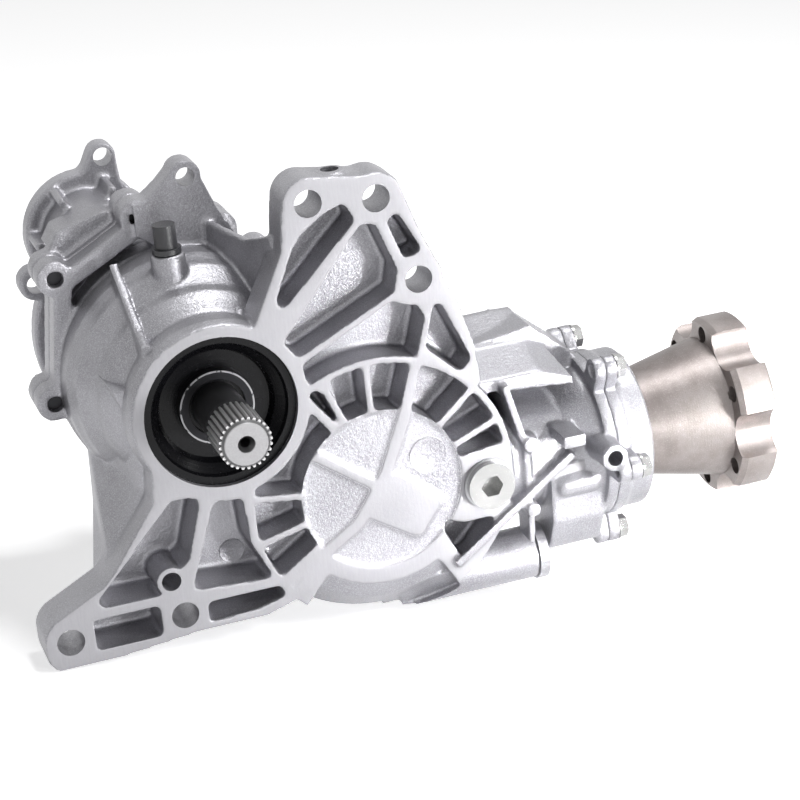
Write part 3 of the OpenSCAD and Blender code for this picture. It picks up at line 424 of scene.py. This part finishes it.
def flange_steel():
    """Forged steel with a warm bloom, turned on its cone and collar."""
    f = Finish("flange_steel")
    bloom = f.noise(34.0, 4.0, 0.6)
    speck = f.noise(1300.0, 3.0, 0.7)
    chatter = f.noise(1.0, 2.0, place=f.stretched(2400.0, 60.0, 60.0))
    colour = f.mix(bloom.step(0.32, 0.7), rgb(0.205, 0.178, 0.17), rgb(0.32, 0.29, 0.28))
    colour = f.mix(speck.step(0.5, 0.8) * 0.6, colour, rgb(0.41, 0.38, 0.37))
    return f.surface(Base_Color=colour, Metallic=0.85, Roughness=0.33 + bloom * 0.14,
                     Normal=f.relief(chatter * 0.5 + speck, 0.00009))


def add_materials():
    cast = cast_aluminium()
    steel = plain_metal("dark_steel", rgb(0.09, 0.09, 0.095), 0.42)
    ground = plain_metal("ground_steel", rgb(0.50, 0.50, 0.52), 0.3)
    zinc = plain_metal("zinc_plate", rgb(0.46, 0.46, 0.455), 0.25, 0.9)
    polished = plain_metal("bearing_steel", rgb(0.62, 0.62, 0.64), 0.14)
    plastic = plain_metal("vent_plastic", rgb(0.05, 0.05, 0.055), 0.32, 0.0, 0.00012)
    finishes = {"shaft_steel": steel, "gear_steel": ground, "flange_steel": flange_steel(),
                "plug_steel": zinc, "bolt_steel": zinc, "washer_alloy": ground, "bearing_steel": polished,
                "cage_steel": ground, "seal_rubber": seal_rubber(), "vent_plastic": plastic,
                "cast_aluminium": cast, "cover_aluminium": cast}
    for part in frame["record"]["subparts"]:
        dress(nodes[part["node"]], finishes[part["material_slot"]])
    dress(nodes["link_shaft"], splined_steel())
    dress(nodes["input_shaft"], sleeve_steel())
    dress(nodes["joint_bolts"], bolt_steel())
    for piece in pieces:
        dress(piece, cast)


# Stage
FLOOR_TILT = math.radians(6.54)
FLOOR_POINT = Vector((37.0, 34.0, -128.6)) * MM
FLOOR_R = 9.0
PAPER_GLOW = 0.6
BACKFACING = 6
GLOSSY_RAY = 3
TRANSMISSION_RAY = 6
SKY_LIGHT = 0.15
SKY_SEEN = 1.0
CENTRE = Vector((0.08, 0.05, -0.02))
HOUSING = Vector((0.22, 0.05, -0.095))
# Lamps: name, place, what it points at, size, watts, spread in degrees
LAMPS = [
    ("key", (1.4, -0.9, 0.75), CENTRE, 0.45, 14.0, 180.0),
    ("top", (0.6, 0.1, 1.5), CENTRE, 0.45, 14.0, 180.0),
    ("low", (1.0, -1.25, -0.1), CENTRE, 0.4, 18.0, 180.0),
    ("side", (0.75, -1.0, -0.08), HOUSING, 0.25, 0.36, 18.0)]


def add_floor():
    bpy.ops.object.select_all(action="DESELECT")
    bpy.ops.mesh.primitive_circle_add(vertices=96, radius=FLOOR_R, fill_type="NGON", location=FLOOR_POINT,
                                      rotation=(0.0, FLOOR_TILT, 0.0))
    floor = bpy.context.object
    floor.name = "floor"
    f = Finish("floor_paper")
    back = f.add("ShaderNodeNewGeometry", output=BACKFACING)
    seen = f.add("ShaderNodeLightPath")
    for ray in (GLOSSY_RAY, TRANSMISSION_RAY):
        seen = seen.maths("MAXIMUM", f.add("ShaderNodeLightPath", output=ray))
    paper = f.add("ShaderNodeBsdfDiffuse", {}, {"Color": rgb(0.93, 0.93, 0.935)})
    glow = f.add("ShaderNodeEmission", {}, {"Color": rgb(1.0, 1.0, 1.0), "Strength": seen * PAPER_GLOW})
    lit = f.add("ShaderNodeAddShader", {}, {0: paper, 1: glow})
    clear = f.add("ShaderNodeBsdfTransparent")
    f.add("ShaderNodeMixShader", {}, {0: back, 1: lit, 2: clear})
    out = f.tree.nodes.new("ShaderNodeOutputMaterial")
    f.tree.links.new(f.last.outputs[0], out.inputs[0])
    floor.data.materials.append(f.material)


def add_lamp(name, at, aim, size, watts, spread):
    bpy.ops.object.light_add(type="AREA", location=at)
    lamp = bpy.context.object
    lamp.name = name
    lamp.data.shape = "DISK"
    lamp.data.size = size
    lamp.data.energy = watts
    lamp.data.spread = math.radians(spread)
    lamp.rotation_euler = (aim - Vector(at)).to_track_quat("-Z", "Y").to_euler()


def add_light():
    scene = bpy.context.scene
    world = bpy.data.worlds.new("studio")
    scene.world = world
    world.use_nodes = True
    tree = world.node_tree
    sky = tree.nodes["Background"]
    path = tree.nodes.new("ShaderNodeLightPath")
    seen = tree.nodes.new("ShaderNodeMath")
    seen.operation = "MAXIMUM"
    strength = tree.nodes.new("ShaderNodeMapRange")
    strength.inputs["To Min"].default_value = SKY_LIGHT
    strength.inputs["To Max"].default_value = SKY_SEEN
    shiny = tree.nodes.new("ShaderNodeMath")
    shiny.operation = "MAXIMUM"
    tree.links.new(path.outputs["Is Glossy Ray"], shiny.inputs[0])
    tree.links.new(path.outputs["Is Transmission Ray"], shiny.inputs[1])
    tree.links.new(path.outputs["Is Camera Ray"], seen.inputs[0])
    tree.links.new(shiny.outputs[0], seen.inputs[1])
    tree.links.new(seen.outputs[0], strength.inputs["Value"])
    tree.links.new(strength.outputs[0], sky.inputs["Strength"])
    sky.inputs["Color"].default_value = rgb(1.0, 1.0, 1.0)
    scene.view_settings.view_transform = "Standard"
    for lamp in LAMPS:
        add_lamp(*lamp)


# Castings and details, in millimetres
ARM_DEPTH = 21.5
FOOT_DEPTH = 26.0
MOUNT_R = 6.75
COVER_HOLE_R = 4.75
# Holes of the main case: axis, the two other coordinates, radius, from, to
CASE_HOLES = [
    ("Y", (53.0, 93.0), MOUNT_R, 0.0, ARM_DEPTH), ("Y", (86.0, 89.5), MOUNT_R, 0.0, ARM_DEPTH),
    ("Y", (103.0, 46.0), MOUNT_R, 0.0, ARM_DEPTH), ("Y", (-87.0, -99.5), MOUNT_R, 0.0, FOOT_DEPTH),
    ("Y", (-30.5, -99.0), MOUNT_R, 0.0, FOOT_DEPTH), ("Y", (-35.0, -80.0), 4.8, 0.0, 18.0),
    ("Y", (12.5, 95.5), 4.75, 71.0, 86.0), ("Y", (188.5, -58.5), 4.0, -21.0, -3.0),
    ("Z", (68.0, 10.75), 4.4, 95.5, 104.5), ("Y", (0.0, 0.0), 37.5, 0.0, 3.0)]
COVER_HOLES = [
    ("Y", at, COVER_HOLE_R, 138.0, 150.0) for at in ((-14.0, 94.0), (-57.0, 34.0), (-30.0, -60.0), (46.0, -48.0),
                                             (60.0, 28.0))] + [("Y", (0.0, 0.0), 33.0, 146.0, 150.0)]


# How far a filling reaches into the wall round its hole, and a drill past its ends
OVERLAP = 0.7
BEFORE, BEYOND = 2.0, 1.5


def add_castings():
    def stock(holes):
        return [along(axis, at, r + OVERLAP, low, high) for axis, at, r, low, high in holes]

    def drills(holes):
        return [(axis, at, r, low - BEFORE, high + BEYOND) for axis, at, r, low, high in holes]

    # Sweep that carries the casing's lower front edge on to the drain tube
    sweep = wedge([(84.0, 20.0, -130.5), (113.0, 15.0, -125.5), (113.0, 34.0, -125.5), (84.0, 34.0, -131.0),
                   (80.0, 8.5, -115.0), (111.0, 1.5, -109.0), (111.0, 30.0, -109.0), (80.0, 30.0, -115.0)])
    # Round-ended boss below the cross hole
    boss = along("X", (2.0, -77.0), 6.0, 164.5, 188.0)
    apply_modifier(boss, "BEVEL", width=4.0 * MM, segments=4)
    cast_piece("main_case", stock(CASE_HOLES) + [sweep, boss], drills(CASE_HOLES), 1.0, 6, 180000)
    cast_piece("rear_cover", stock(COVER_HOLES), drills(COVER_HOLES), 1.1, 6, 100000)
    cast_piece("pinion_carrier", [], [], 0.8, 4, 60000)


def edit(piece):
    only(piece)
    bpy.ops.object.mode_set(mode="EDIT")
    bpy.ops.mesh.select_mode(type="FACE")


def pick(piece, wanted):
    """Selects the faces that a test on their middle and normal picks."""
    bpy.ops.mesh.select_all(action="DESELECT")
    bpy.ops.object.mode_set(mode="OBJECT")
    for face in piece.data.polygons:
        face.select = wanted(face.center, face.normal)
    bpy.ops.object.mode_set(mode="EDIT")


def finish_piece(piece, name):
    bpy.ops.object.mode_set(mode="OBJECT")
    piece.name = name
    only(piece)
    bpy.ops.object.shade_smooth_by_angle(angle=math.radians(DETAIL_SHADE_ANGLE))
    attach(piece, "case")


def round_pad(name, at, front, radius, rim, sink):
    """A round place with a raised rim and a bare face, on a wall that looks forward."""
    pad = along("Y", at, radius, front, front + 3.0)
    edit(pad)
    pick(pad, lambda middle, normal: normal.y < -0.9)
    bpy.ops.mesh.inset(thickness=rim * MM)
    bpy.ops.transform.translate(value=(0, sink * MM, 0))
    finish_piece(pad, name)
    apply_modifier(pad, "BEVEL", width=0.12 * MM, segments=2, angle_limit=math.radians(40))
    pieces.append(pad)


def add_details():
    round_pad("cap_round_place", (99.3, -44.6), 0.65, 9.6, 0.9, 0.2)
    round_pad("foot_round_place", (0.8, -81.3), 22.0, 6.2, 0.8, 0.3)
    ledge = wedge([(-43.0, 16.5, 3.0), (-41.0, 15.5, 3.0), (-41.0, 40.0, 3.0), (-45.0, 40.0, 3.0),
                   (-47.5, 16.0, 15.5), (-37.5, 11.0, 14.5), (-37.5, 40.0, 16.5), (-50.0, 40.0, 18.0)])
    apply_modifier(ledge, "BEVEL", width=0.7 * MM, segments=3)
    edit(ledge)
    finish_piece(ledge, "bell_ledge")
    pieces.append(ledge)


add_camera()
add_floor()
add_light()
add_castings()
add_details()
add_materials()
